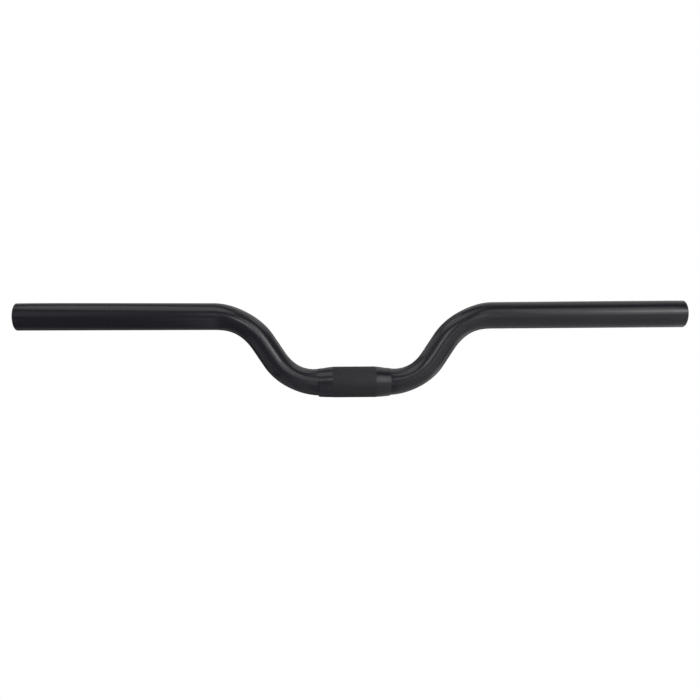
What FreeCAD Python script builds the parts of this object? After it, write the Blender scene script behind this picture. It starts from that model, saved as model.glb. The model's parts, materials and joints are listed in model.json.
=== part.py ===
"""Riser handlebar of a bicycle: one bent steel tube with a clamp sleeve pressed on to its middle.

The frame is in millimetres. Its origin is the centre of the stem clamp, +X runs along the clamp to the
rider's right, +Y points forward and +Z up. The tube is bent in four places: a lower and an upper bend on
each side, with a straight rise between them. Both sides are alike, so the right one is drawn and mirrored.
"""
import FreeCAD, Part
import math
import os
import Sketcher

# Driving dimensions, in millimetres, with the one angle in degrees.
SIZES = {
    # The tube, and the chamfers that deburr its cut ends, outside and in the bore.
    "tube_diameter": 22.2,
    "wall": 1.6,
    "end_chamfer": 0.7,
    "bore_chamfer": 0.4,
    # The bar: distance between the centres of its two cut ends, height of the grips over the clamp, and
    # the angle by which the grips point back to the rider.
    "end_spacing": 545.0,
    "rise": 55.0,
    "backsweep": 4.0,
    # The bends, measured at the tube's centre line, and the straight rise that they leave between them.
    "lower_bend_radius": 42.5,
    "upper_bend_radius": 48.5,
    "rise_straight": 17.8,
    # How much thinner in the bend plane, and wider across it, bending leaves the tube.
    "lower_flattening": 1.9,
    "rise_flattening": 1.1,
    "upper_flattening": 1.8,
    # The sleeve as it is turned: its wall at the clamp zone, that zone's length, its whole length, how far
    # its shoulders stand above the tube where the bevel starts, the bevel's length and the lip it leaves.
    "sleeve_wall": 1.6,
    "clamp_length": 36.0,
    "sleeve_length": 60.5,
    "shoulder_step": 1.3,
    "end_bevel": 1.2,
    "end_lip": 0.15,
    # The sleeve as it is pressed down on the inside of the bends: where beside the clamp zone that starts,
    # how far it leaves the sleeve's end above the tube, and how far its axis lies under the bar's.
    "press_start": 0.5,
    "press_step": 0.3,
    "press_offset": 0.6,
    # The straight tube between the sleeve and the bends.
    "bend_margin": 0.35,
}

# Places of the drawn sections in each bend, as shares of its turn.
STATIONS = (0.0, 0.25, 0.5, 0.75, 1.0)

# Names for the numbers by which a sketch refers to the points of a curve, its own axes and its origin.
START, END, CENTRE = range(1, 4)
UPRIGHT_AXIS, LEVEL_AXIS = range(-2, 0)
ORIGIN_POINT = (LEVEL_AXIS, START)

# The two ways in which a bend can turn.
UP, DOWN = 1, -1

# Expressions for the tube's radius and the clamp zone's.
TUBE_RADIUS = "dims.tube_diameter / 2"
CLAMP_RADIUS = f"({TUBE_RADIUS} + dims.sleeve_wall)"


def make_sheet(doc):
    """Put the driving dimensions into a spreadsheet, one named cell each."""
    sheet = doc.addObject("Spreadsheet::Sheet", "dims")
    for row, (name, value) in enumerate(SIZES.items(), start=1):
        sheet.set(f"A{row}", name)
        sheet.set(f"B{row}", str(value))
        sheet.setAlias(f"B{row}", name)
    doc.recompute()
    return sheet


def make_route(doc):
    """Work out the right side's bending route from the sheet: its turns, straight lengths and corners."""
    route = doc.addObject("App::VarSet", "route")
    room = "(2 * (dims.lower_bend_radius + dims.upper_bend_radius) - dims.rise)"
    straight = "dims.rise_straight"
    values = (
        ("bend_start", "Float", "dims.sleeve_length / 2 + dims.bend_margin"),
        # The slope at which both bends and the straight between them fill the rise.
        ("slope", "Angle", f"2 * atan((sqrt({straight}^2 + {room} * dims.rise) - {straight}) / {room})"),
        # The upper bend lies in a plane turned about the rise, so that it also sweeps the grip back.
        ("twist", "Angle", "atan(tan(dims.backsweep) / sin(route.slope))"),
        ("upper_turn", "Angle", "acos(cos(route.slope) * cos(dims.backsweep))"),
        ("upper_tangent", "Float", "dims.upper_bend_radius * tan(route.upper_turn / 2)"),
        # Height and length that the lower bend takes up, then the straight that closes the rise exactly.
        ("lower_height", "Float", "dims.lower_bend_radius * (1 - cos(route.slope))"),
        ("lower_reach", "Float", "dims.lower_bend_radius * sin(route.slope)"),
        ("rise_length", "Float", "(dims.rise - route.lower_height) / sin(route.slope)"
                                 " - route.upper_tangent"),
        ("upper_x", "Float", "route.bend_start + route.lower_reach"
                             " + route.rise_length * cos(route.slope)"),
        ("upper_z", "Float", "route.lower_height + route.rise_length * sin(route.slope)"),
        # The corner where the rise's and the grip's lines meet, and the grip from the bend to the cut end.
        ("corner_x", "Float", "route.upper_x + route.upper_tangent * cos(route.slope)"),
        ("grip_length", "Float", "(dims.end_spacing / 2 - route.corner_x) / cos(dims.backsweep)"
                                 " - route.upper_tangent"),
    )
    for name, kind, expression in values:
        route.addProperty(f"App::Property{kind}", name)
        route.setExpression(name, expression)
    doc.recompute()


def turn_about(axis, angle):
    """Rotation expression about the sketch's own axis, given as a letter."""
    vector = "; ".join("1" if letter == axis else "0" for letter in "xyz")
    return f"rotation(vector({vector}); {angle})"


def placed(across, up, out, rotation="rotation(vector(1; 0; 0); 0)"):
    """Placement expression in the frame of a plane: across it, up it and out of it."""
    return f"placement(vector({across}; {up}; {out}); {rotation})"


def origin_plane(body, role):
    """Find one of the body's own origin planes."""
    return next(plane for plane in body.Origin.OriginFeatures if plane.Role == role)


def attach(item, support, offset=None):
    """Lay a sketch or plane on a plane of its body, moved by a placement expression where one is given."""
    item.AttachmentSupport = [(support, "")]
    item.MapMode = "FlatFace"
    if offset:
        item.setExpression("AttachmentOffset", offset)
    return item


def new_sketch(body, name, support, offset=None):
    """Start a sketch of the body on a plane."""
    return attach(body.newObject("Sketcher::SketchObject", name), support, offset)


def bind(sketch, name, constraint, expression):
    """Add a named size to a sketch and tie it to an expression."""
    number = sketch.addConstraint(constraint)
    sketch.renameConstraint(number, name)
    sketch.setExpression(f"Constraints.{name}", expression)


def draw_circle(sketch, name, diameter):
    """Draw a circle on the sketch's origin."""
    first = Part.Circle(FreeCAD.Vector(0, 0, 0), FreeCAD.Vector(0, 0, 1), SIZES["tube_diameter"] / 2)
    circle = sketch.addGeometry(first, False)
    sketch.addConstraint(Sketcher.Constraint("Coincident", circle, CENTRE, *ORIGIN_POINT))
    bind(sketch, name, Sketcher.Constraint("Diameter", circle, SIZES["tube_diameter"]), diameter)


def draw_outline(sketch, corners):
    """Draw a closed outline through named corners, each given by its places along and over an axis."""
    places = [FreeCAD.Vector(*map(sketch.evalExpression, corner)) for corner in corners.values()]
    lines = []
    for start, end in zip(places, places[1:] + places[:1]):
        lines.append(sketch.addGeometry(Part.LineSegment(start, end), False))
    for line, following in zip(lines, lines[1:] + lines[:1]):
        sketch.addConstraint(Sketcher.Constraint("Coincident", line, END, following, START))
    for line, place, (name, (along, over)) in zip(lines, places, corners.items()):
        corner = (*ORIGIN_POINT, line, START)
        bind(sketch, f"{name}_along", Sketcher.Constraint("DistanceX", *corner, place.x), along)
        bind(sketch, f"{name}_over", Sketcher.Constraint("DistanceY", *corner, place.y), over)


def draw_oval(sketch, name, width, depth):
    """Draw an ellipse on the sketch's origin, its width across the bend plane and its depth in it."""
    half_width = SIZES["tube_diameter"] / 2 + SIZES["lower_flattening"]
    half_depth = SIZES["tube_diameter"] / 2
    corners = (FreeCAD.Vector(half_width, 0, 0), FreeCAD.Vector(0, half_depth, 0), FreeCAD.Vector(0, 0, 0))
    oval = sketch.addGeometry(Part.Ellipse(*corners), False)
    sketch.exposeInternalGeometry(oval)
    long_axis, short_axis = oval + 1, oval + 2
    sketch.addConstraint(Sketcher.Constraint("Coincident", oval, CENTRE, *ORIGIN_POINT))
    sketch.addConstraint(Sketcher.Constraint("Horizontal", long_axis))
    bind(sketch, f"{name}_width", Sketcher.Constraint("Distance", long_axis, 2 * half_width), width)
    bind(sketch, f"{name}_depth", Sketcher.Constraint("Distance", short_axis, 2 * half_depth), depth)


def draw_tube_section(sketch, flattening=None):
    """Draw the tube's outer and inner outline, one wall apart, round or flattened."""
    outlines = {"outer": "dims.tube_diameter", "inner": "dims.tube_diameter - 2 * dims.wall"}
    for name, diameter in outlines.items():
        if flattening is None:
            draw_circle(sketch, name, diameter)
        else:
            draw_oval(sketch, name, f"{diameter} + {flattening}", f"{diameter} - {flattening}")


def draw_bend_path(sketch, radius, turn, side):
    """Draw a bend's centre line: an arc that leaves the origin along the sketch's level axis."""
    size = SIZES["lower_bend_radius"]
    circle = Part.Circle(FreeCAD.Vector(0, side * size, 0), FreeCAD.Vector(0, 0, 1), size)
    quarter, eighth = math.pi / 2, math.pi / 4
    span = (-quarter, -eighth) if side == UP else (eighth, quarter)
    arc = sketch.addGeometry(Part.ArcOfCircle(circle, *span), False)
    foot = START if side == UP else END
    sketch.addConstraint(Sketcher.Constraint("Coincident", arc, foot, *ORIGIN_POINT))
    sketch.addConstraint(Sketcher.Constraint("PointOnObject", arc, CENTRE, UPRIGHT_AXIS))
    bind(sketch, "radius", Sketcher.Constraint("Radius", arc, size), radius)
    bind(sketch, "turn", Sketcher.Constraint("Angle", arc, eighth), turn)


def lower_flattening(share):
    """Flattening along the lower bend: it starts beside the sleeve and fades to that of the rise."""
    if share == 0.0:
        return None
    if share <= 0.5:
        return f"dims.lower_flattening * sin(180 * {share})"
    gain = "(dims.lower_flattening - dims.rise_flattening)"
    return f"(dims.rise_flattening + {gain} * sin(180 * {share})^2)"


def upper_flattening(share):
    """Flattening along the upper bend: from that of the rise to a round tube at the grip."""
    if share == 1.0:
        return None
    if share <= 0.5:
        gain = "(dims.upper_flattening - dims.rise_flattening)"
        return f"(dims.rise_flattening + {gain} * sin(180 * {share})^2)"
    return f"dims.upper_flattening * sin(180 * {share})^2"


def make_bend(body, name, start, radius, turn, side, flattening, untwist="0"):
    """Sweep the tube round a bend, through its sections.

    start places the bend's first section and turns it into the bend's plane, untwist turns the sections
    back about the tube, and side is UP or DOWN. Returns the bend and its last section.
    """
    plane = body.newObject("PartDesign::Plane", f"{name}_start")
    attach(plane, origin_plane(body, "YZ_Plane"), start)
    path = new_sketch(body, f"{name}_path", plane, placed(0, 0, 0, turn_about("y", -90)))
    draw_bend_path(path, radius, turn, side)
    sections = []
    for number, share in enumerate(STATIONS):
        angle = f"{turn} * {share}"
        facing = f"{turn_about('x', f'{-side} * {angle}')} * {turn_about('z', untwist)}"
        offset = placed(0, f"{side} * {radius} * (1 - cos({angle}))", f"{radius} * sin({angle})", facing)
        section = new_sketch(body, f"{name}_section_{number}", plane, offset)
        draw_tube_section(section, flattening(share))
        sections.append(section)
    bend = body.newObject("PartDesign::AdditivePipe", name)
    bend.Profile = sections[0]
    bend.Spine = (path, ["Edge1"])
    bend.Transformation = "Multisection"
    bend.Sections = sections[1:]
    return bend, sections[-1]


def make_pad(body, name, sketch, length, side_type="One side"):
    """Extrude a sketch by a length expression."""
    pad = body.newObject("PartDesign::Pad", name)
    pad.Profile = sketch
    pad.SideType = side_type
    pad.setExpression("Length", length)
    return pad


def mirror_left(body, name, features):
    """Repeat the right side's features on the left of the bar's middle plane."""
    mirrored = body.newObject("PartDesign::Mirrored", name)
    mirrored.Originals = features
    mirrored.MirrorPlane = (origin_plane(body, "YZ_Plane"), [""])
    body.Tip = mirrored
    return mirrored


def chamfer_rims(body, name, base, sheet, diameter, size):
    """Chamfer the round edges of one diameter at the tube's two cut ends."""
    body.Document.recompute()
    rims = []
    for number, edge in enumerate(base.Shape.Edges, start=1):
        if isinstance(edge.Curve, Part.Circle):
            right_size = math.isclose(2 * edge.Curve.Radius, diameter, abs_tol=1e-4)
            at_end = math.isclose(abs(edge.Curve.Center.x), sheet.end_spacing / 2, abs_tol=1e-3)
            if right_size and at_end:
                rims.append(f"Edge{number}")
    chamfer = body.newObject("PartDesign::Chamfer", name)
    chamfer.Base = (base, rims)
    chamfer.setExpression("Size", size)
    return chamfer


def make_tube(doc, sheet):
    """The bent tube: straight under the sleeve, two bends with the rise between them, and the grip."""
    body = doc.addObject("PartDesign::Body", "handlebar_tube")
    middle = new_sketch(body, "middle_section", origin_plane(body, "YZ_Plane"))
    draw_tube_section(middle)
    make_pad(body, "clamp_run", middle, "2 * route.bend_start", "Symmetric")
    lower, rise_section = make_bend(
        body, "lower_bend", placed(0, 0, "route.bend_start"),
        "dims.lower_bend_radius", "route.slope", UP, lower_flattening,
    )
    rise = make_pad(body, "rise_run", rise_section, "route.rise_length")
    bend_plane = f"{turn_about('x', '-route.slope')} * {turn_about('z', '-route.twist')}"
    upper, grip_section = make_bend(
        body, "upper_bend", placed(0, "route.upper_z", "route.upper_x", bend_plane),
        "dims.upper_bend_radius", "route.upper_turn", DOWN, upper_flattening, "route.twist",
    )
    grip = make_pad(body, "grip_run", grip_section, "route.grip_length")
    both = mirror_left(body, "left_side", [lower, rise, upper, grip])
    ends = chamfer_rims(body, "deburred_ends", both, sheet, sheet.tube_diameter, "dims.end_chamfer")
    bore_diameter = sheet.tube_diameter - 2 * sheet.wall
    chamfer_rims(body, "deburred_bore", ends, sheet, bore_diameter, "dims.bore_chamfer")
    return body


def make_sleeve(doc):
    """The clamp sleeve: turned with two shoulders, then pressed down on the inside of the bends."""
    body = doc.addObject("PartDesign::Body", "clamp_sleeve")
    side = origin_plane(body, "XZ_Plane")
    half_length = "dims.sleeve_length / 2"
    right = {
        "clamp": ("dims.clamp_length / 2", CLAMP_RADIUS),
        "shoulder": (f"({half_length} - dims.end_bevel)", f"{TUBE_RADIUS} + dims.shoulder_step"),
        "lip": (half_length, f"{TUBE_RADIUS} + dims.end_lip"),
        "bore": (half_length, TUBE_RADIUS),
    }
    left = {f"left_{name}": (f"-{along}", over) for name, (along, over) in reversed(right.items())}
    profile = new_sketch(body, "turned_profile", side)
    draw_outline(profile, {**right, **left})
    blank = body.newObject("PartDesign::Revolution", "turned_sleeve")
    blank.Profile = profile
    blank.ReferenceAxis = (profile, ["H_Axis"])
    clear_radius = f"{CLAMP_RADIUS} + dims.press_offset"
    pressing = new_sketch(body, "pressed_profile", side, placed(0, "-dims.press_offset", 0))
    draw_outline(pressing, {
        "start": ("dims.clamp_length / 2 + dims.press_start", clear_radius),
        "end": (half_length, f"{TUBE_RADIUS} + dims.press_step + dims.press_offset"),
        "clear": (half_length, clear_radius),
    })
    pressed = body.newObject("PartDesign::Groove", "pressed_shoulder")
    pressed.Profile = pressing
    pressed.ReferenceAxis = (pressing, ["H_Axis"])
    mirror_left(body, "left_shoulder", [pressed])
    return body


def check(doc, bodies):
    """Stop if any object failed, or if a sub-part isn't one valid solid."""
    for item in doc.Objects:
        if {"Invalid", "Error"} & set(item.State):
            raise RuntimeError(f"{item.Label} failed: {item.State}")
    for body in bodies:
        shape = body.Shape
        if shape.isNull() or not shape.isValid() or len(shape.Solids) != 1:
            raise RuntimeError(f"{body.Label} isn't one valid solid")


def main():
    """Build the document, check it and write each sub-part."""
    doc = FreeCAD.newDocument("handlebar")
    sheet = make_sheet(doc)
    make_route(doc)
    bodies = [make_tube(doc, sheet), make_sleeve(doc)]
    for body in bodies:
        body.Label = body.Name
        body.Placement = FreeCAD.Placement()
    doc.recompute()
    check(doc, bodies)
    os.makedirs("parts", exist_ok=True)
    for body in bodies:
        body.Shape.exportStep(f"parts/{body.Label}.step")
        print(f"{body.Label}: {body.Shape.Volume:.0f} mm3")


main()
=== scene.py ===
"""Looks of a riser handlebar: a bent, satin black tube with a knurled clamp sleeve round its middle.

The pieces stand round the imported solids, in metres: X to the rider's right, Y forward and Z up, with the
middle of the clamp at the origin. The camera stands on the rider's side.
"""

import json
import logging
import math
from dataclasses import dataclass
from enum import Enum
from typing import Callable

import bpy
from mathutils import Matrix, Vector


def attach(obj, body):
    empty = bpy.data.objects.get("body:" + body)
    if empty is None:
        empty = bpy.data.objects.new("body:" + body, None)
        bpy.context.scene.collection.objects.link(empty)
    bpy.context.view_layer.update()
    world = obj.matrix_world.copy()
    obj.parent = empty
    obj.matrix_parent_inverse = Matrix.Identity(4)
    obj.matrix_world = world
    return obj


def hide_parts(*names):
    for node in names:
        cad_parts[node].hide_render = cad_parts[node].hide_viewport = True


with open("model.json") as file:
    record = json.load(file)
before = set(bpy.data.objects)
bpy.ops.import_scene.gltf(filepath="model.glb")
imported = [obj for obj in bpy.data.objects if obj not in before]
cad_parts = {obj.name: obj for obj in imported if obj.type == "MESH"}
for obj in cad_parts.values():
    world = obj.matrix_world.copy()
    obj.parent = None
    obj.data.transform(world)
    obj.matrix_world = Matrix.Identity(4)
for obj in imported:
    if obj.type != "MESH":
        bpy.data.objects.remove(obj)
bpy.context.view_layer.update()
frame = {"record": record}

BODY = "root"
MM = 0.001
SAME_POINT = 0.01 * MM
UNIT = (0.0, 1.0)
WHITE = (1.0, 1.0, 1.0, 1.0)
BAR_MIDDLE = (0.0, 0.0, 0.03)
LOG = logging.getLogger("handlebar")

Span = tuple[float, float]
Triple = tuple[float, float, float]
Colour = Triple


class Slot(Enum):
    """Material slots of the record, by the paint that each of them stands for."""

    SATIN = "satin_black_paint"
    MATT = "matt_black_paint"


class Mount(Enum):
    """Mounts of the record that the visible pieces take their sizes from."""

    CLAMP = "stem_clamp"
    GRIP = "right_grip_seat"
    BORE = "right_bar_end_bore"


def mount(which: Mount) -> dict:
    """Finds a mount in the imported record.

    Args:
        which: The mount that is wanted.

    Returns:
        The mount's entry, with its place in metres and its sizes in millimetres.
    """
    return next(m for m in frame["record"]["mounts"] if m["name"] == which.value)


def deselect_all() -> None:
    """Leaves edit mode and deselects every object."""
    if bpy.context.object and bpy.context.object.mode != "OBJECT":
        bpy.ops.object.mode_set(mode="OBJECT")
    bpy.ops.object.select_all(action="DESELECT")


def start_selecting(kind: str) -> None:
    """Deselects all of the active mesh and leaves it in object mode, for a selection of one kind.

    Args:
        kind: VERT, EDGE or FACE.
    """
    bpy.ops.object.mode_set(mode="EDIT")
    bpy.ops.mesh.select_mode(type=kind)
    bpy.ops.mesh.select_all(action="DESELECT")
    bpy.ops.object.mode_set(mode="OBJECT")


def select_vertices(piece: bpy.types.Object, wanted: Callable[[Vector], bool]) -> None:
    """Goes into edit mode with only the wanted vertices selected.

    Args:
        piece: The active mesh object, in object mode.
        wanted: Says of a vertex's place whether it is selected.
    """
    start_selecting("VERT")
    for vertex in piece.data.vertices:
        vertex.select = wanted(vertex.co)
    bpy.ops.object.mode_set(mode="EDIT")


def select_edges(piece: bpy.types.Object, wanted: Callable[[Vector], bool]) -> None:
    """Goes into edit mode with only the edges selected whose two ends are both wanted.

    Args:
        piece: The active mesh object, in object mode.
        wanted: Says of an end's place whether it is wanted.
    """
    start_selecting("EDGE")
    points = piece.data.vertices
    for edge in piece.data.edges:
        edge.select = all(wanted(points[end].co) for end in edge.vertices)
    bpy.ops.object.mode_set(mode="EDIT")


def select_faces(piece: bpy.types.Object, wanted: Callable[[Vector], bool]) -> None:
    """Goes into edit mode with only the wanted faces selected.

    Args:
        piece: The active mesh object, in object mode.
        wanted: Says of a face's middle whether it is selected.
    """
    start_selecting("FACE")
    for face in piece.data.polygons:
        face.select = wanted(face.center)
    bpy.ops.object.mode_set(mode="EDIT")


def merge_and_turn_out() -> None:
    """Merges doubled points of the active mesh and turns its faces outwards."""
    bpy.ops.object.mode_set(mode="EDIT")
    bpy.ops.mesh.select_all(action="SELECT")
    bpy.ops.mesh.remove_doubles(threshold=SAME_POINT)
    bpy.ops.mesh.normals_make_consistent(inside=False)
    bpy.ops.object.mode_set(mode="OBJECT")


def mirror_half(piece: bpy.types.Object) -> None:
    """Mirrors the rider's right half to the left and makes one skin of the two.

    Args:
        piece: The active mesh object, in object mode.
    """
    mirror = piece.modifiers.new("left_half", "MIRROR")
    mirror.use_axis = (True, False, False)
    mirror.merge_threshold = SAME_POINT
    bpy.ops.object.modifier_apply(modifier=mirror.name)
    merge_and_turn_out()


def smooth(piece: bpy.types.Object, crease: float) -> None:
    """Shades the piece smooth, with edges sharper than the crease angle left as edges.

    Args:
        piece: The mesh object.
        crease: The angle in radians.
    """
    deselect_all()
    piece.select_set(True)
    bpy.context.view_layer.objects.active = piece
    bpy.ops.object.shade_smooth_by_angle(angle=crease)


class RingWalk:
    """A ring that edit-mode operators carry along a route, leaving a skin behind it."""

    def __init__(self, name: str, radius: float, points: int) -> None:
        """Adds the ring across X at the origin and goes into edit mode on it.

        Args:
            name: Name of the new piece.
            radius: Radius of the ring.
            points: How many points the ring has.
        """
        deselect_all()
        bpy.ops.mesh.primitive_circle_add(
            vertices=points, radius=radius, fill_type="NOTHING", rotation=(0.0, math.pi / 2, 0.0)
        )
        self.piece: bpy.types.Object = bpy.context.object
        self.piece.name = name
        self.piece.data.name = name
        bpy.ops.object.transform_apply(location=True, rotation=True, scale=True)
        self.centre = Vector((0.0, 0.0, 0.0))
        self.along = Vector((1.0, 0.0, 0.0))
        self.across = Vector((0.0, 1.0, 0.0))
        self.diameter = 2.0 * radius
        self.flatness = 0.0
        bpy.ops.object.mode_set(mode="EDIT")
        bpy.ops.mesh.select_mode(type="EDGE")
        bpy.ops.mesh.select_all(action="SELECT")

    def straight(self, length: float, rings: int) -> None:
        """Extrudes the ring straight on.

        Args:
            length: How far it goes.
            rings: How many rings it leaves.
        """
        step = self.along * (length / rings)
        for _ in range(rings):
            bpy.ops.mesh.extrude_edges_move(TRANSFORM_OT_translate={"value": tuple(step)})
            self.centre += step

    def bend(
        self, radius: float, towards: Vector, rings: int, flattening: Callable[[float], float]
    ) -> None:
        """Spins the ring round until it heads a given way, flattening it on the way.

        Args:
            radius: Bend radius at the tube's axis.
            towards: Direction that the ring ends up heading in.
            rings: How many rings it leaves.
            flattening: How flat the section is at a share of the bend from 0 to 1.
        """
        turn = self.along.angle(towards)
        axis = self.along.cross(towards).normalized()
        hub = self.centre + axis.cross(self.along) * radius
        step = Matrix.Rotation(turn / rings, 3, axis)
        for ring in range(1, rings + 1):
            bpy.ops.mesh.spin(steps=1, angle=-turn / rings, center=tuple(hub), axis=tuple(axis))
            self.centre = hub + step @ (self.centre - hub)
            self.along = step @ self.along
            self.across = step @ self.across
            self.flatten(flattening(ring / rings))

    def flatten(self, flatness: float) -> None:
        """Makes the ring wider across and shallower in the plane of the bend.

        Args:
            flatness: How much wider than round, and how much shallower, it becomes.
        """
        wider = (self.diameter + flatness) / (self.diameter + self.flatness)
        shallower = (self.diameter - flatness) / (self.diameter - self.flatness)
        axes = (tuple(self.across), tuple(self.along.cross(self.across)), tuple(self.along))
        bpy.ops.transform.resize(
            value=(wider, shallower, 1.0),
            orient_type="GLOBAL",
            orient_matrix=axes,
            orient_matrix_type="GLOBAL",
            center_override=tuple(self.centre),
        )
        self.flatness = flatness

    def section(self, place: float, top: float, bottom: float, side: float, now: Vector) -> Vector:
        """Extrudes the ring along X and gives it a new oval section.

        Args:
            place: X of the new ring.
            top: Height of its highest point above the axis.
            bottom: Depth of its lowest point below the axis.
            side: Half of its width.
            now: Half width, half height and height of the middle of the ring as it is.

        Returns:
            The same three of the new ring.
        """
        after = Vector((side, (top + bottom) / 2, (top - bottom) / 2))
        bpy.ops.mesh.extrude_edges_move(
            TRANSFORM_OT_translate={"value": (place - self.centre.x, 0.0, after.z - now.z)}
        )
        self.centre = Vector((place, 0.0, after.z))
        bpy.ops.transform.resize(
            value=(1.0, after.x / now.x, after.y / now.y), center_override=tuple(self.centre)
        )
        return after

    def done(self) -> bpy.types.Object:
        """Leaves edit mode and gives the piece."""
        bpy.ops.object.mode_set(mode="OBJECT")
        return self.piece


@dataclass(frozen=True)
class Noise:
    """A noise texture: its scale and its levels of detail."""

    scale: float
    detail: float


class NodeSheet:
    """A node tree with short ways to add nodes, set their inputs and link them."""

    def __init__(self, tree: bpy.types.NodeTree) -> None:
        """Keeps the tree that nodes go into."""
        self.tree = tree

    def add(self, kind: str, settings: dict | None = None, **inputs: object) -> bpy.types.Node:
        """Adds a node.

        Args:
            kind: Its type, without the words that all shader nodes start with.
            settings: Properties of the node itself.
            inputs: Input sockets by name, with _ for a space: a value, or an output socket to link from.

        Returns:
            The node.
        """
        node = self.tree.nodes.new("ShaderNode" + kind)
        for name, value in (settings or {}).items():
            setattr(node, name, value)
        for name, value in inputs.items():
            self.feed(self.socket(node, name), value)
        return node

    def feed(self, socket: bpy.types.NodeSocket, value: object) -> None:
        """Gives an input its value.

        Args:
            socket: The input.
            value: A value to set, or an output socket to link from.
        """
        if isinstance(value, bpy.types.NodeSocket):
            self.tree.links.new(value, socket)
        else:
            socket.default_value = value

    def socket(self, node: bpy.types.Node, name: str) -> bpy.types.NodeSocket:
        """Finds an input of a node.

        Args:
            node: The node.
            name: The input's name with _ for a space, or its number after the letter i.

        Returns:
            The input.
        """
        if name[0] == "i" and name[1:].isdigit():
            return node.inputs[int(name[1:])]
        return node.inputs[name.replace("_", " ")]

    def math(self, operation: str, *values: object) -> bpy.types.NodeSocket:
        """Adds a Math node.

        Args:
            operation: What it does.
            values: Its inputs in order, numbers or output sockets.

        Returns:
            Its result.
        """
        node = self.add("Math", {"operation": operation}, **{f"i{n}": v for n, v in enumerate(values)})
        return node.outputs[0]

    def noise(self, place: bpy.types.NodeSocket, noise: Noise) -> bpy.types.NodeSocket:
        """Adds a Noise Texture node.

        Args:
            place: Coordinates that the noise is read at.
            noise: The noise.

        Returns:
            Its value, from about 0 to 1.
        """
        node = self.add("TexNoise", Vector=place, Scale=noise.scale, Detail=noise.detail)
        return node.outputs["Fac"]

    def remap(self, value: bpy.types.NodeSocket, given: Span, wanted: Span) -> bpy.types.NodeSocket:
        """Adds a smooth Map Range node.

        Args:
            value: The socket that is mapped.
            given: The two values that become the ends of the result.
            wanted: The ends of the result.

        Returns:
            The mapped value.
        """
        node = self.add(
            "MapRange",
            {"interpolation_type": "SMOOTHSTEP"},
            Value=value,
            From_Min=given[0],
            From_Max=given[1],
            To_Min=wanted[0],
            To_Max=wanted[1],
        )
        return node.outputs["Result"]

    def blend(
        self,
        factor: bpy.types.NodeSocket,
        low: Colour | bpy.types.NodeSocket,
        high: Colour | bpy.types.NodeSocket,
    ) -> bpy.types.NodeSocket:
        """Adds a colour mix.

        Args:
            factor: Share of the second colour.
            low: First colour.
            high: Second colour.

        Returns:
            The mixed colour.
        """
        node = self.add("Mix", {"data_type": "RGBA"})
        sockets = {s.identifier: s for s in node.inputs}
        self.feed(sockets["Factor_Float"], factor)
        for name, tone in (("A_Color", low), ("B_Color", high)):
            linked = isinstance(tone, bpy.types.NodeSocket)
            self.feed(sockets[name], tone if linked else (*tone, 1.0))
        return next(s for s in node.outputs if s.identifier == "Result_Color")


@dataclass(frozen=True)
class PaintSkin:
    """The skin of a sprayed and baked paint, as a node group that every paint of the bar shares.

    Tone and gloss are each the sum of two noises, taken from a span of the noise to a share of the sum.
    """

    name: str = "paint_skin"
    peel: Noise = Noise(scale=520.0, detail=1.0)
    grain: Noise = Noise(scale=3600.0, detail=2.0)
    mottle: Noise = Noise(scale=42.0, detail=4.0)
    wide_span: Span = (0.3, 0.7)
    grain_span: Span = (0.35, 0.65)
    mottle_tone: Span = (0.0, 0.7)
    grain_tone: Span = (0.0, 0.3)
    mottle_gloss: Span = (0.6, 0.0)
    peel_gloss: Span = (0.0, 0.4)

    def group(self) -> bpy.types.NodeTree:
        """Builds the group once.

        Returns:
            The group, with the inputs Peel and Grain, and the outputs Height, Tone and Gloss.
        """
        made = bpy.data.node_groups.get(self.name)
        if made:
            return made
        tree = bpy.data.node_groups.new(self.name, "ShaderNodeTree")
        for label in ("Peel", "Grain"):
            tree.interface.new_socket(label, in_out="INPUT", socket_type="NodeSocketFloat")
        for label in ("Height", "Tone", "Gloss"):
            tree.interface.new_socket(label, in_out="OUTPUT", socket_type="NodeSocketFloat")
        sheet = NodeSheet(tree)
        given = tree.nodes.new("NodeGroupInput")
        place = sheet.add("TexCoord").outputs["Object"]
        peel = sheet.noise(place, self.peel)
        grain = sheet.noise(place, self.grain)
        mottle = sheet.noise(place, self.mottle)
        height = sheet.math(
            "ADD",
            sheet.math("MULTIPLY", peel, given.outputs["Peel"]),
            sheet.math("MULTIPLY", grain, given.outputs["Grain"]),
        )
        tone = sheet.math(
            "ADD",
            sheet.remap(mottle, self.wide_span, self.mottle_tone),
            sheet.remap(grain, self.grain_span, self.grain_tone),
        )
        gloss = sheet.math(
            "ADD",
            sheet.remap(mottle, self.wide_span, self.mottle_gloss),
            sheet.remap(peel, self.wide_span, self.peel_gloss),
        )
        put = tree.nodes.new("NodeGroupOutput")
        for label, value in (("Height", height), ("Tone", tone), ("Gloss", gloss)):
            tree.links.new(value, put.inputs[label])
        return tree


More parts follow.
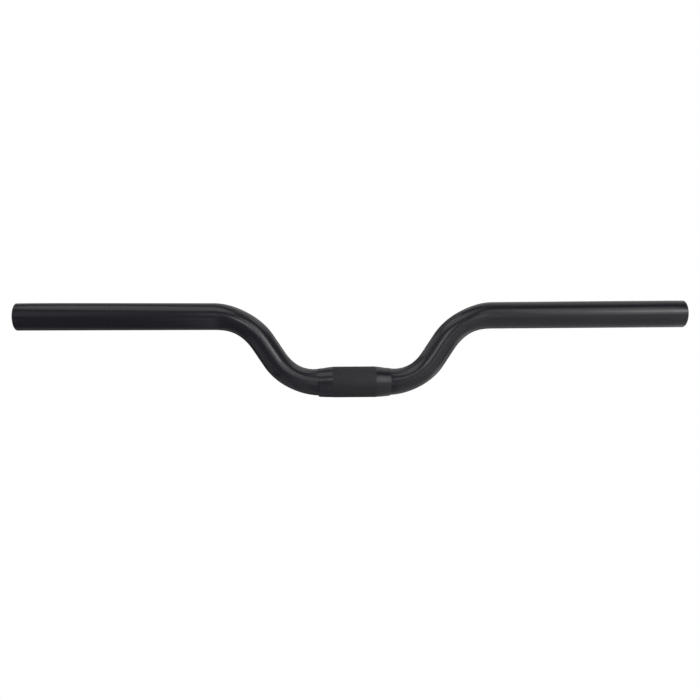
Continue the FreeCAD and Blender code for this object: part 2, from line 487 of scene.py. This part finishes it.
@dataclass(frozen=True)
class Paint:
    """A black paint: its two tones, its gloss and how rough its skin is."""

    name: str
    deep: Colour
    pale: Colour
    roughness: Span
    specular: float
    peel: float
    grain: float
    skin_depth: float
    skin: PaintSkin = PaintSkin()

    def material(self) -> bpy.types.Material:
        """Builds the material once.

        Returns:
            The material.
        """
        made = bpy.data.materials.get(self.name)
        if made:
            return made
        material = bpy.data.materials.new(self.name)
        material.use_nodes = True
        sheet = NodeSheet(material.node_tree)
        shader = material.node_tree.nodes["Principled BSDF"]
        skin = sheet.add("Group", {"node_tree": self.skin.group()}, Peel=self.peel, Grain=self.grain)
        bump = sheet.add("Bump", Height=skin.outputs["Height"], Strength=1.0, Distance=self.skin_depth)
        sheet.feed(shader.inputs["Base Color"], sheet.blend(skin.outputs["Tone"], self.deep, self.pale))
        sheet.feed(shader.inputs["Roughness"], sheet.remap(skin.outputs["Gloss"], UNIT, self.roughness))
        sheet.feed(shader.inputs["Normal"], bump.outputs["Normal"])
        sheet.feed(shader.inputs["Specular IOR Level"], self.specular)
        return material


@dataclass(frozen=True)
class BoreSteel:
    """Drawn steel inside the tube, with paint that has blown in at the two mouths.

    The overspray covers a share of its depth, then thins out along a ragged edge.
    """

    mouth: float
    name: str = "bore_steel"
    steel: Colour = (0.23, 0.22, 0.21)
    oxide: Colour = (0.09, 0.075, 0.065)
    overspray: Colour = (0.02, 0.02, 0.022)
    blown_in: float = 34.0 * MM
    covered_share: float = 0.1
    ragged_share: float = 0.3
    cloud: Noise = Noise(scale=160.0, detail=5.0)
    cloud_span: Span = (0.3, 0.7)
    oxide_span: Span = (0.35, 0.7)
    drawn: Noise = Noise(scale=1.0, detail=3.0)
    drawn_scale: Triple = (30.0, 1400.0, 1400.0)
    drawn_span: Span = (0.2, 0.8)
    drawn_depth: float = 0.03 * MM
    roughness: Span = (0.38, 0.6)
    metallic: float = 0.85

    def material(self) -> bpy.types.Material:
        """Builds the material.

        Returns:
            The material.
        """
        material = bpy.data.materials.new(self.name)
        material.use_nodes = True
        sheet = NodeSheet(material.node_tree)
        shader = material.node_tree.nodes["Principled BSDF"]
        place = sheet.add("TexCoord").outputs["Object"]
        lengthwise = sheet.add("Mapping", Vector=place, Scale=self.drawn_scale).outputs["Vector"]
        drawn = sheet.noise(lengthwise, self.drawn)
        cloud = sheet.noise(place, self.cloud)
        split = sheet.add("SeparateXYZ", Vector=place)
        depth = sheet.math("SUBTRACT", self.mouth, sheet.math("ABSOLUTE", split.outputs["X"]))
        wander = self.ragged_share * self.blown_in
        ragged = sheet.math("ADD", depth, sheet.remap(cloud, self.cloud_span, (-wander, wander)))
        bare = sheet.remap(ragged, (self.covered_share * self.blown_in, self.blown_in), UNIT)
        metal = sheet.blend(sheet.remap(cloud, self.oxide_span, UNIT), self.steel, self.oxide)
        bump = sheet.add("Bump", Height=drawn, Strength=1.0, Distance=self.drawn_depth)
        sheet.feed(shader.inputs["Base Color"], sheet.blend(bare, self.overspray, metal))
        sheet.feed(shader.inputs["Metallic"], sheet.math("MULTIPLY", bare, self.metallic))
        sheet.feed(shader.inputs["Roughness"], sheet.remap(drawn, self.drawn_span, self.roughness))
        sheet.feed(shader.inputs["Normal"], bump.outputs["Normal"])
        return material


SATIN = Paint(
    name="baked_satin_black",
    deep=(0.0154, 0.0142, 0.0206),
    pale=(0.0189, 0.0175, 0.0250),
    roughness=(0.20, 0.27),
    specular=0.5,
    peel=1.0,
    grain=0.12,
    skin_depth=0.012 * MM,
)
MATT = Paint(
    name="baked_matt_black",
    deep=(0.0199, 0.0189, 0.0243),
    pale=(0.0266, 0.0255, 0.0322),
    roughness=(0.48, 0.60),
    specular=0.37,
    peel=0.5,
    grain=0.6,
    skin_depth=0.02 * MM,
)


@dataclass
class BentTube:
    """The tube, bent up and back on each side, with sections that flatten in the bends."""

    radius: float = mount(Mount.GRIP)["dims"]["r_mm"] * MM
    bore_radius: float = mount(Mount.BORE)["dims"]["r_mm"] * MM
    rise: float = 55.0 * MM
    half_spacing: float = 272.5 * MM
    backsweep: float = math.radians(4.0)
    bend_start: float = 30.6 * MM
    lower_radius: float = 42.5 * MM
    upper_radius: float = 48.5 * MM
    rise_straight: float = 17.8 * MM
    lower_flatness: float = 1.9 * MM
    rise_flatness: float = 1.1 * MM
    upper_flatness: float = 1.8 * MM
    end_bevel: float = 0.7 * MM
    end_bevel_steps: int = 4
    bore_bevel: float = 0.4 * MM
    bore_bevel_steps: int = 2
    rim_tolerance: float = 0.1 * MM
    points: int = 144
    middle_rings: int = 4
    bend_rings: int = 24
    rise_rings: int = 5
    arm_rings: int = 12
    crease: float = math.radians(28.0)

    @property
    def arm(self) -> Vector:
        """Direction of the right arm."""
        return Vector((math.cos(self.backsweep), -math.sin(self.backsweep), 0.0))

    @property
    def slope(self) -> float:
        """Works out how steep the risers are, so that two bends and a straight run make up the rise.

        Returns:
            Their angle above level.
        """
        room = 2.0 * (self.lower_radius + self.upper_radius) - self.rise
        run = self.rise_straight
        return 2.0 * math.atan((math.sqrt(run * run + room * self.rise) - run) / room)

    @property
    def riser(self) -> Vector:
        """Direction of the right riser."""
        return Vector((math.cos(self.slope), 0.0, math.sin(self.slope)))

    @property
    def riser_length(self) -> float:
        """Works out how much of the riser is left straight, with the arm's backsweep in the upper bend.

        Returns:
            Length of the straight run between the two bends.
        """
        upper_tangent = self.upper_radius * math.tan(self.riser.angle(self.arm) / 2)
        climbed = self.lower_radius * (1.0 - math.cos(self.slope))
        return (self.rise - climbed) / math.sin(self.slope) - upper_tangent

    def lower_law(self, share: float) -> float:
        """Flattens the lower bend from round to its flattest middle and on to the riser's section.

        Args:
            share: How far along the bend, from 0 to 1.

        Returns:
            How much wider than round the section is there.
        """
        swell = math.sin(math.pi * share)
        if share <= 0.5:
            return self.lower_flatness * swell
        return self.rise_flatness + (self.lower_flatness - self.rise_flatness) * swell * swell

    def upper_law(self, share: float) -> float:
        """Flattens the upper bend from the riser's section to its flattest middle and back to round.

        Args:
            share: How far along the bend, from 0 to 1.

        Returns:
            How much wider than round the section is there.
        """
        swell = math.sin(math.pi * share) ** 2
        if share <= 0.5:
            return self.rise_flatness + (self.upper_flatness - self.rise_flatness) * swell
        return self.upper_flatness * swell

    def skin(self) -> bpy.types.Object:
        """Walks a ring from the middle of the bar to the end of the right arm.

        Returns:
            The outer skin of the right half.
        """
        walk = RingWalk("handlebar_tube_skin", self.radius, self.points)
        walk.straight(self.bend_start, self.middle_rings)
        walk.bend(self.lower_radius, self.riser, self.bend_rings, self.lower_law)
        walk.straight(self.riser_length, self.rise_rings)
        walk.bend(self.upper_radius, self.arm, self.bend_rings, self.upper_law)
        walk.straight((self.half_spacing - walk.centre.x) / self.arm.x, self.arm_rings)
        return walk.done()

    def wall(self, piece: bpy.types.Object) -> None:
        """Gives the skin its wall, with a bore of its own finish.

        Args:
            piece: The outer skin of the whole tube, the active object.
        """
        solidify = piece.modifiers.new("wall", "SOLIDIFY")
        solidify.thickness = self.radius - self.bore_radius
        solidify.offset = -1.0
        solidify.material_offset = 1
        solidify.material_offset_rim = 0
        bpy.ops.object.modifier_apply(modifier=solidify.name)

    def mouths(self, piece: bpy.types.Object) -> None:
        """Breaks the outer and the inner edge at both ends of the tube.

        Args:
            piece: The tube with its wall.
        """
        near = self.rim_tolerance
        centre = self.end_centre(piece)
        for radius, bevel, steps in (
            (self.radius, self.end_bevel, self.end_bevel_steps),
            (self.bore_radius, self.bore_bevel, self.bore_bevel_steps),
        ):

            def at_rim(place: Vector) -> bool:
                """Says whether a point lies on this rim, at either end."""
                out = Vector((abs(place.x), place.y, place.z)) - centre
                return abs(out.dot(self.arm)) < near and abs(out.length - radius) < near

            select_edges(piece, at_rim)
            bpy.ops.mesh.bevel(offset=bevel, segments=steps, affect="EDGES")
            bpy.ops.object.mode_set(mode="OBJECT")

    def end_centre(self, piece: bpy.types.Object) -> Vector:
        """Finds the middle of the right end of the tube.

        Args:
            piece: The tube.

        Returns:
            The middle of its right end.
        """
        reach = max(v.co.dot(self.arm) for v in piece.data.vertices)
        rim = [v.co for v in piece.data.vertices if v.co.dot(self.arm) > reach - self.rim_tolerance]
        return sum(rim, Vector()) / len(rim)

    def build(self) -> bpy.types.Object:
        """Models the tube, dresses it and puts it in place of its solid.

        Returns:
            The finished piece.
        """
        piece = self.skin()
        mirror_half(piece)
        piece.data.materials.append(SATIN.material())
        piece.data.materials.append(BoreSteel(mouth=self.half_spacing).material())
        self.wall(piece)
        self.mouths(piece)
        smooth(piece, self.crease)
        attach(piece, BODY)
        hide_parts("handlebar_tube")
        return piece


@dataclass(frozen=True)
class Shoulder:
    """How far one shoulder of the sleeve has come in at its end, on top, below and at its sides.

    The top eases in and out, the bottom comes in late and the sides come in evenly.
    """

    top: float
    bottom: float
    side: float
    top_ease: float = 0.6
    bottom_power: float = 1.5

    def section(self, radius: float, share: float) -> Triple:
        """Section of the shoulder.

        Args:
            radius: Radius of the clamp zone that the shoulder starts from.
            share: How far along the shoulder, from 0 at the clamp zone to 1 at its end.

        Returns:
            Height of the top and depth of the bottom from the axis, and half of the width.
        """
        eased = share - self.top_ease * math.sin(2.0 * math.pi * share) / (2.0 * math.pi)
        return (
            radius - self.top * eased,
            radius - self.bottom * share**self.bottom_power,
            radius - self.side * share,
        )


@dataclass
class ClampSleeve:
    """The sleeve pressed on to the middle of the tube, knurled where the stem clamps it."""

    radius: float = mount(Mount.CLAMP)["dims"]["r_mm"] * MM
    half_knurl: float = mount(Mount.CLAMP)["dims"]["length_mm"] / 2 * MM
    bore_radius: float = mount(Mount.GRIP)["dims"]["r_mm"] * MM
    half_length: float = 30.25 * MM
    end_bevel: float = 1.2 * MM
    end_lip: float = 0.12 * MM
    left: Shoulder = Shoulder(1.22 * MM, 0.35 * MM, 1.25 * MM)
    right: Shoulder = Shoulder(1.22 * MM, 0.85 * MM, 1.34 * MM)
    ridges: int = 54
    ridge_points: int = 6
    crest_points: tuple[int, ...] = (2, 3)
    flank_points: tuple[int, ...] = (1, 4)
    flank_share: float = 0.6
    ridge_height: float = 0.15 * MM
    ridge_run_out: float = 0.9 * MM
    shoulder_rings: int = 14
    corner: float = 0.35 * MM
    corner_steps: int = 4
    crease: float = math.radians(40.0)

    @property
    def points(self) -> int:
        """Points round the sleeve."""
        return self.ridges * self.ridge_points

    @property
    def shoulder_end(self) -> float:
        """Distance from the middle at which the shoulders end and their bevels begin."""
        return self.half_length - self.end_bevel

    def stations(self) -> list[tuple[float, float, float, float]]:
        """Lists the sections from the left end to the right end.

        Returns:
            X, height of the top, depth of the bottom and half width of each section.
        """
        shares = [ring / self.shoulder_rings for ring in range(self.shoulder_rings + 1)]
        reach = self.shoulder_end - self.half_knurl
        right = [(self.half_knurl + reach * s, *self.right.section(self.radius, s)) for s in shares]
        left = [(-self.half_knurl - reach * s, *self.left.section(self.radius, s)) for s in shares]
        flat = self.half_knurl - self.ridge_run_out
        knurl = [(place, *(self.radius,) * 3) for place in (-flat, 0.0, flat)]
        lip = (self.bore_radius + self.end_lip,) * 3
        return [(-self.half_length, *lip), *reversed(left), *knurl, *right, (self.half_length, *lip)]

    def skin(self) -> bpy.types.Object:
        """Walks a ring out of the bore, over the sleeve from left to right and back through the bore.

        Returns:
            The closed skin.
        """
        bore = (self.bore_radius,) * 3
        walk = RingWalk("clamp_sleeve_skin", self.bore_radius, self.points)
        bpy.ops.transform.translate(value=(-self.half_length, 0.0, 0.0))
        walk.centre.x = -self.half_length
        now = Vector((self.bore_radius, self.bore_radius, 0.0))
        for place, top, bottom, side in self.stations():
            now = walk.section(place, top, bottom, side, now)
        now = walk.section(self.half_length, *bore, now)
        walk.section(-self.half_length, *bore, now)
        piece = walk.done()
        merge_and_turn_out()
        return piece

    def round_ends(self, piece: bpy.types.Object) -> None:
        """Softens the corner between each shoulder and its bevel.

        Args:
            piece: The sleeve.
        """
        select_edges(piece, lambda place: abs(abs(place.x) - self.shoulder_end) < SAME_POINT)
        bpy.ops.mesh.bevel(offset=self.corner, segments=self.corner_steps, affect="EDGES")
        bpy.ops.object.mode_set(mode="OBJECT")

    def knurl(self, piece: bpy.types.Object) -> None:
        """Raises straight ridges along the clamp zone, crest and flanks in turn.

        Args:
            piece: The sleeve.
        """
        flat = self.half_knurl - self.ridge_run_out / 2
        outside = (self.radius + self.bore_radius) / 2
        for raised, height in (
            (self.crest_points, self.ridge_height),
            (self.flank_points, self.flank_share * self.ridge_height),
        ):

            def on_ridge(place: Vector) -> bool:
                """Says whether a point is one of those to raise.

                Args:
                    place: The point's place.

                Returns:
                    Whether it lies outside, on the clamp zone and on the crests or flanks in turn.
                """
                if abs(place.x) > flat or math.hypot(place.y, place.z) < outside:
                    return False
                column = round(math.atan2(place.z, place.y) / (2.0 * math.pi) * self.points)
                return column % self.ridge_points in raised

            select_vertices(piece, on_ridge)
            grown = 1.0 + height / self.radius
            bpy.ops.transform.resize(value=(1.0, grown, grown), center_override=(0.0, 0.0, 0.0))
            bpy.ops.object.mode_set(mode="OBJECT")

    def dress(self, piece: bpy.types.Object) -> None:
        """Paints the clamp zone matt and the shoulders satin.

        Args:
            piece: The sleeve.
        """
        piece.data.materials.append(MATT.material())
        piece.data.materials.append(SATIN.material())
        select_faces(piece, lambda middle: abs(middle.x) > self.half_knurl)
        piece.active_material_index = 1
        bpy.ops.object.material_slot_assign()
        bpy.ops.object.mode_set(mode="OBJECT")

    def build(self) -> bpy.types.Object:
        """Models the sleeve, dresses it and puts it in place of its solid.

        Returns:
            The finished piece.
        """
        piece = self.skin()
        self.knurl(piece)
        self.round_ends(piece)
        self.dress(piece)
        smooth(piece, self.crease)
        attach(piece, BODY)
        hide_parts("clamp_sleeve")
        return piece


@dataclass(frozen=True)
class Softbox:
    """A rectangular soft lamp that the camera doesn't see."""

    name: str
    place: Triple
    aim: Triple
    width: float
    height: float
    brightness: float

    def hang(self) -> bpy.types.Object:
        """Adds the lamp, as bright as its brightness times white.

        Returns:
            The lamp.
        """
        heading = (Vector(self.aim) - Vector(self.place)).to_track_quat("-Z", "Y").to_euler()
        bpy.ops.object.light_add(type="AREA", location=self.place, rotation=heading)
        lamp = bpy.context.object
        lamp.name = self.name
        lamp.data.shape = "RECTANGLE"
        lamp.data.size = self.width
        lamp.data.size_y = self.height
        lamp.data.energy = self.brightness * math.pi * self.width * self.height
        lamp.visible_camera = False
        return lamp


LAMPS = (
    # The key light, from the right in front.
    Softbox("key_softbox", (0.75, -1.4, 0.70), BAR_MIDDLE, 0.90, 1.60, 1.42),
    Softbox("key_core", (0.96, -1.4, 0.63), BAR_MIDDLE, 0.60, 0.50, 4.1),
    # Small cards near the middle, for the streaks on the sleeve and in the bends.
    Softbox("middle_card", (-0.0575, -0.36, 0.160), BAR_MIDDLE, 0.105, 0.115, 3.1),
    Softbox("low_middle_card", (-0.12, -0.45, -0.24), (0.0, 0.0, 0.0), 0.08, 0.36, 0.45),
    Softbox("under_middle_card", (-0.10, -0.12, -0.30), (-0.10, -0.12, 0.0), 0.14, 0.46, 0.25),
    Softbox("top_middle_card", (-0.105, -0.17, 0.36), (-0.02, 0.0, 0.0), 0.09, 0.10, 0.50),
    Softbox("right_middle_card", (0.100, -0.50, 0.078), (0.05, 0.0, 0.02), 0.18, 0.19, 0.45),
    Softbox("clamp_top_card", (0.011, 0.014, 0.16), (0.011, 0.014, 0.0), 0.08, 0.06, 0.50),
    Softbox("left_bend_card", (-0.098, -0.055, -0.06), (-0.098, -0.055, 0.0), 0.045, 0.15, 0.22),
    # Wide cards in front and below, for the arms and the low half of the bar.
    Softbox("left_card", (-0.96, -1.4, 0.63), BAR_MIDDLE, 1.08, 1.14, 0.31),
    Softbox("front_low_card", (0.92, -1.4, -0.45), BAR_MIDDLE, 2.36, 1.00, 0.55),
    Softbox("low_card", (0.60, 0.03, -0.6), (0.60, 0.03, 0.0), 1.00, 1.94, 0.44),
    Softbox("right_low_card", (1.0, 0.4, -0.4), BAR_MIDDLE, 1.00, 0.80, 0.50),
    # Cards above and high on the left, for the streaks along the top.
    Softbox("top_softbox", (-0.31, -0.25, 0.85), (-0.1, 0.0, 0.03), 0.82, 0.50, 1.0),
    Softbox("left_top_card", (-0.2, 0.64, 0.80), (-0.1, 0.0, 0.03), 1.40, 0.35, 0.28),
    Softbox("right_top_card", (0.35, 0.12, 0.90), (0.35, 0.12, 0.0), 0.50, 0.50, 0.20),
    Softbox("left_high_card", (-1.0, 0.15, 0.50), BAR_MIDDLE, 0.90, 0.80, 0.65),
    # Lamps behind, for the edges.
    Softbox("left_back_softbox", (-1.2, 1.1, 0.50), BAR_MIDDLE, 0.80, 0.80, 1.4),
    Softbox("right_back_softbox", (1.2, 1.1, 0.50), BAR_MIDDLE, 0.80, 0.80, 0.7),
    Softbox("back_softbox", (0.0, 1.5, 0.06), BAR_MIDDLE, 0.60, 0.40, 2.0),
    # Cards low on the left, for the left arm and riser.
    Softbox("left_under_card", (-0.45, 0.5, -0.65), (-0.2, 0.0, 0.06), 0.70, 0.50, 0.16),
    Softbox("left_floor_card", (-1.25, -0.60, -0.75), (-1.25, -0.60, 0.0), 0.60, 2.20, 0.26),
    Softbox("left_low_card", (-1.0, -0.2, -0.10), BAR_MIDDLE, 0.70, 0.50, 1.3),
)


@dataclass(frozen=True)
class BrightWall:
    """A side of the dim room that the bar mirrors brighter than the rest of it.

    The wall fades in from its edge to its core, which are cosines of the angle from its heading.
    """

    heading: Triple
    edge: float
    core: float
    brightness: float


@dataclass
class Studio:
    """Floor, white background, soft lamps and the camera.

    The floor's two cores are shares of its shadow_reach. The camera's angles are in radians, and its lens
    and sensor in millimetres.
    """

    floor_height: float = -1.0
    floor_size: float = 12.0
    floor_tone: float = 0.75
    floor_glow: float = 0.62
    floor_mirrored: float = 0.06
    floor_far: float = 0.05
    shadow_reach: float = 1.4
    shadow_core: float = 0.6
    mirrored_core: float = 0.3
    ambient: float = 0.08
    room: float = 0.09
    walls: tuple[BrightWall, ...] = (
        BrightWall((0.36, 0.56, 0.746), 0.72, 0.98, 0.60),
        BrightWall((0.0, 1.0, 0.0), 0.80, 0.97, 0.35),
    )
    camera_place: Triple = (-0.01941, -0.57015, 0.02666)
    camera_yaw: float = 0.02809
    camera_roll: float = -0.00604
    camera_near: float = 0.01
    lens: float = 35.083
    sensor: float = 36.0
    lamps: tuple[Softbox, ...] = LAMPS

    def lay_floor(self) -> bpy.types.Object:
        """Lays a pale floor that keeps the bar's shadow, is white farther out and dim in reflections.

        Returns:
            The floor.
        """
        deselect_all()
        bpy.ops.mesh.primitive_plane_add(size=self.floor_size, location=(0.0, 0.0, self.floor_height))
        floor = bpy.context.object
        floor.name = "studio_floor"
        material = bpy.data.materials.new("floor_paper")
        material.use_nodes = True
        material.node_tree.nodes.clear()
        sheet = NodeSheet(material.node_tree)
        place = sheet.add("TexCoord").outputs["Object"]
        away = sheet.add("VectorMath", {"operation": "LENGTH"}, i0=place).outputs["Value"]
        reach = self.shadow_reach
        open_floor = sheet.remap(away, (self.shadow_core * reach, reach), UNIT)
        tone = (self.floor_tone,) * 3
        path = sheet.add("LightPath").outputs
        camera = path["Is Camera Ray"]
        reflected = sheet.math("MAXIMUM", path["Is Glossy Ray"], path["Is Transmission Ray"])
        dimmed = (self.floor_mirrored, self.floor_far)
        pool = sheet.remap(away, (self.mirrored_core * reach, reach), dimmed)
        paper = sheet.add("BsdfDiffuse", Color=(*tone, 1.0))
        glow = sheet.add("Emission", Strength=sheet.math("MULTIPLY", camera, self.floor_glow))
        lit = sheet.add("AddShader", i0=paper.outputs["BSDF"], i1=glow.outputs["Emission"])
        white = sheet.add("Emission", Strength=sheet.math("MAXIMUM", camera, pool))
        mixed = sheet.add(
            "MixShader",
            i0=sheet.math("MULTIPLY_ADD", camera, open_floor, reflected),
            i1=lit.outputs["Shader"],
            i2=white.outputs["Emission"],
        )
        sheet.add("OutputMaterial", Surface=mixed.outputs["Shader"])
        floor.data.materials.append(material)
        return floor

    def hang_background(self) -> bpy.types.World:
        """Makes the world white to the camera, and a dim room with brighter walls to reflections.

        All else gets an even, soft light from it.

        Returns:
            The world.
        """
        world = bpy.data.worlds.new("studio_room")
        bpy.context.scene.world = world
        world.use_nodes = True
        world.node_tree.nodes.clear()
        sheet = NodeSheet(world.node_tree)
        heading = sheet.add("TexCoord").outputs["Generated"]
        path = sheet.add("LightPath").outputs
        shown = sheet.math("MAXIMUM", self.room, path["Is Camera Ray"])
        for wall in self.walls:
            facing = sheet.add("VectorMath", {"operation": "DOT_PRODUCT"}, i0=heading, i1=wall.heading)
            light = sheet.remap(facing.outputs["Value"], (wall.edge, wall.core), (0.0, wall.brightness))
            shown = sheet.math("MAXIMUM", shown, light)
        seen = sheet.math("MAXIMUM", path["Is Camera Ray"], path["Is Glossy Ray"])
        seen = sheet.math("MAXIMUM", seen, path["Is Transmission Ray"])
        soft = sheet.add("Background", Color=WHITE, Strength=self.ambient)
        white = sheet.add("Background", Color=WHITE, Strength=shown)
        mixed = sheet.add(
            "MixShader", i0=seen, i1=soft.outputs["Background"], i2=white.outputs["Background"]
        )
        sheet.add("OutputWorld", Surface=mixed.outputs["Shader"])
        return world

    def set_camera(self) -> bpy.types.Object:
        """Stands the camera on the rider's side, level, and turns and rolls it a little.

        Returns:
            The camera.
        """
        ahead = Vector((math.sin(self.camera_yaw), math.cos(self.camera_yaw), 0.0))
        level = Vector((math.cos(self.camera_yaw), -math.sin(self.camera_yaw), 0.0))
        upright = Vector((0.0, 0.0, 1.0))
        right = level * math.cos(self.camera_roll) + upright * math.sin(self.camera_roll)
        above = upright * math.cos(self.camera_roll) - level * math.sin(self.camera_roll)
        turned = Matrix((right, above, -ahead)).transposed()
        bpy.ops.object.camera_add(location=self.camera_place, rotation=turned.to_euler())
        camera = bpy.context.object
        camera.name = "photo_camera"
        camera.data.lens = self.lens
        camera.data.sensor_width = self.sensor
        camera.data.sensor_fit = "HORIZONTAL"
        camera.data.clip_start = self.camera_near
        bpy.context.scene.camera = camera
        return camera

    def build(self) -> None:
        """Sets up the whole studio."""
        bpy.context.scene.view_settings.view_transform = "Standard"
        self.lay_floor()
        self.hang_background()
        for lamp in self.lamps:
            lamp.hang()
        self.set_camera()


def main() -> None:
    """Builds the bar and the studio round it."""
    logging.basicConfig(level=logging.INFO, format="%(name)s: %(message)s")
    for part in (BentTube(), ClampSleeve()):
        piece = part.build()
        LOG.info("%s: %d faces", piece.name, len(piece.data.polygons))
    Studio().build()


if __name__ == "__main__":
    main()
